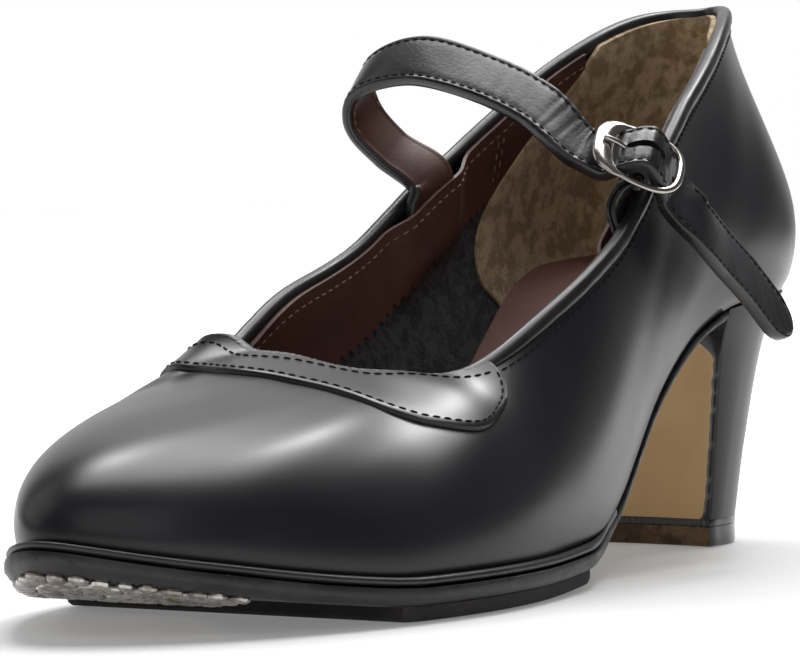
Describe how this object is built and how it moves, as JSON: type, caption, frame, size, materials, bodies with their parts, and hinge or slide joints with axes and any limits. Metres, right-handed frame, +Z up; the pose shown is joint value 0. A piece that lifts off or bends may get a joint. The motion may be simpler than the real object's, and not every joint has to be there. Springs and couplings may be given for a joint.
{
  "type": "flamenco tap shoe",
  "caption": "Left dance shoe with covered Cuban heel, low-cut leather upper, buckled instep strap and nailed toe and heel for tapping rhythm.",
  "frame": {"origin": "on the ground, under the middle of the shoe's overall length and width", "axes": "+Z up, toe towards -Y, heel towards +Y, outer side of the foot with the buckle towards +X"},
  "size_m": [0.081, 0.2404, 0.1123],
  "materials": {
    "black_leather": "smooth polished black calf leather",
    "brown_leather": "matt red-brown lining leather",
    "black_felt": "black lining felt",
    "beige_suede": "brushed beige suede",
    "stiffener": "stiffened cloth",
    "fibre_board": "pressed fibre board",
    "latex_foam": "latex foam sheet",
    "cork": "ground cork filling",
    "plain_steel": "bright plain steel",
    "sole_leather": "black waxed sole leather",
    "sole_rubber": "thin matt black rubber",
    "beech": "plain beech",
    "tan_leather": "natural tan leather",
    "lift_fibre": "brown leather fibre, cut edge",
    "nickel": "polished nickel"
  },
  "bodies": {
    "shoe": {"upper_outer": "black_leather", "topline_binding": "black_leather", "throat_overlay": "black_leather", "lining_band": "brown_leather", "lining_felt": "black_felt", "heel_grip": "beige_suede", "toe_puff": "stiffener", "heel_counter": "stiffener", "insole_board": "fibre_board", "heel_pad": "latex_foam", "sock_lining": "brown_leather", "bottom_filler": "cork", "shank": "plain_steel", "toe_nails": "plain_steel", "outsole": "sole_leather", "half_sole": "sole_rubber", "welt": "black_leather", "heel_cover": "black_leather", "heel_block": "beech", "heel_screw": "plain_steel", "breast_flap": "tan_leather", "heel_spacer": "sole_leather", "heel_lift": "lift_fibre", "heel_nail_1": "plain_steel", "heel_nail_2": "plain_steel", "heel_nail_3": "plain_steel", "heel_nail_4": "plain_steel", "heel_nail_5": "plain_steel", "heel_nail_6": "plain_steel", "strap_root": "black_leather", "buckle_tab": "black_leather"},
    "strap": {"strap_outer": "black_leather", "strap_lining": "brown_leather"},
    "buckle": {"buckle_frame": "nickel"},
    "prong": {"buckle_prong": "nickel"}
  },
  "joints": [
    {"name": "strap_lift", "type": "hinge", "parent": "shoe", "child": "strap", "pos_m": [-0.02497, 0.03823, 0.0757], "axis": [-0.1356, -0.8506, -0.508], "range_deg": [0, 5], "deforming": ["buckle_tab"]},
    {"name": "buckle_pivot", "type": "hinge", "parent": "strap", "child": "buckle", "pos_m": [0.0263, 0.02994, 0.07831], "axis": [-0.2096, 0.7631, 0.6114], "range_deg": [-2, 2]},
    {"name": "prong_pivot", "type": "hinge", "parent": "buckle", "child": "prong", "pos_m": [0.0263, 0.02994, 0.07831], "axis": [-0.2096, 0.7631, 0.6114], "range_deg": [0, 70]}
  ]
}
